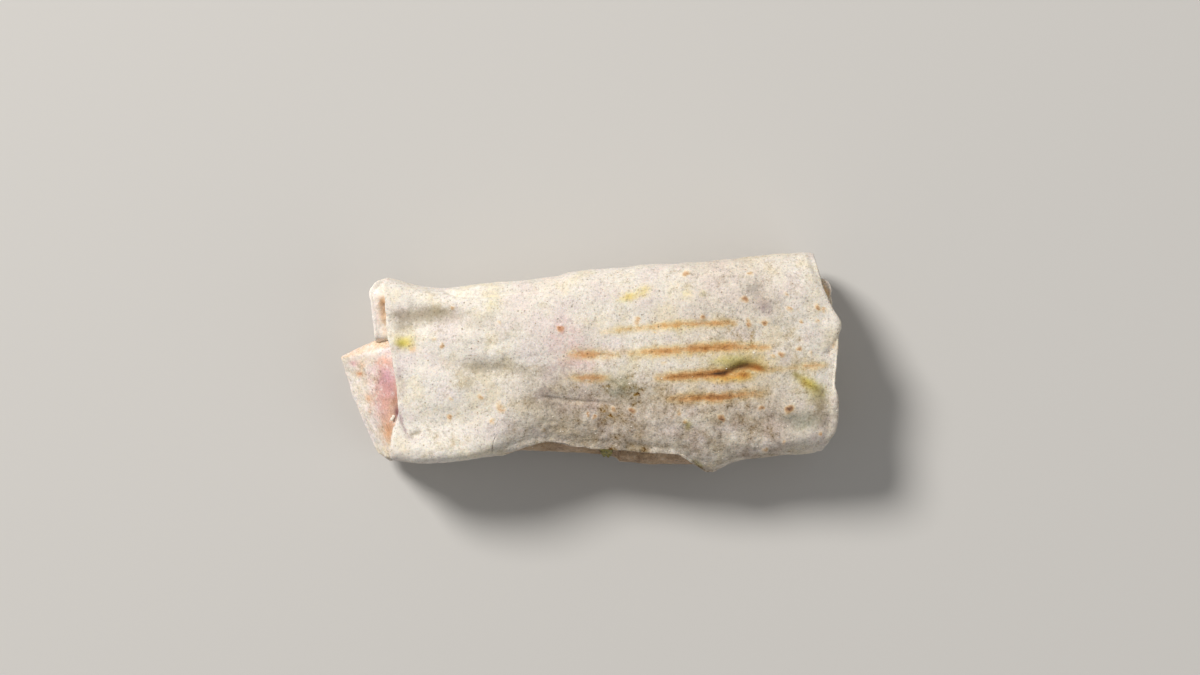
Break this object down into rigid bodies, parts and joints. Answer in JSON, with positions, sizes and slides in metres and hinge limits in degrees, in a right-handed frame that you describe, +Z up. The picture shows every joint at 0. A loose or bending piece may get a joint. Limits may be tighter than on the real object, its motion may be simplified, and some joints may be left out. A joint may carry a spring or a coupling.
{
  "type": "rolled flatbread wrap",
  "caption": "Thin pale flatbread rolled round a filling and pressed on a grill, one end flap sticking out, ends folded in, a bit of parsley at its seam.",
  "frame": {"origin": "middle of the wrap's bounding box, on the surface it lies on", "axes": "+X along the roll, away from the end flap; +Y to its back; +Z up"},
  "size_m": [0.1999, 0.0884, 0.0428],
  "materials": {
    "flatbread": "matt floury baked flatbread with toasted grill marks",
    "parsley": "soft green herb leaf"
  },
  "bodies": {
    "root": {"wrap_bread": "flatbread", "parsley_leaf": "parsley"}
  },
  "joints": []
}
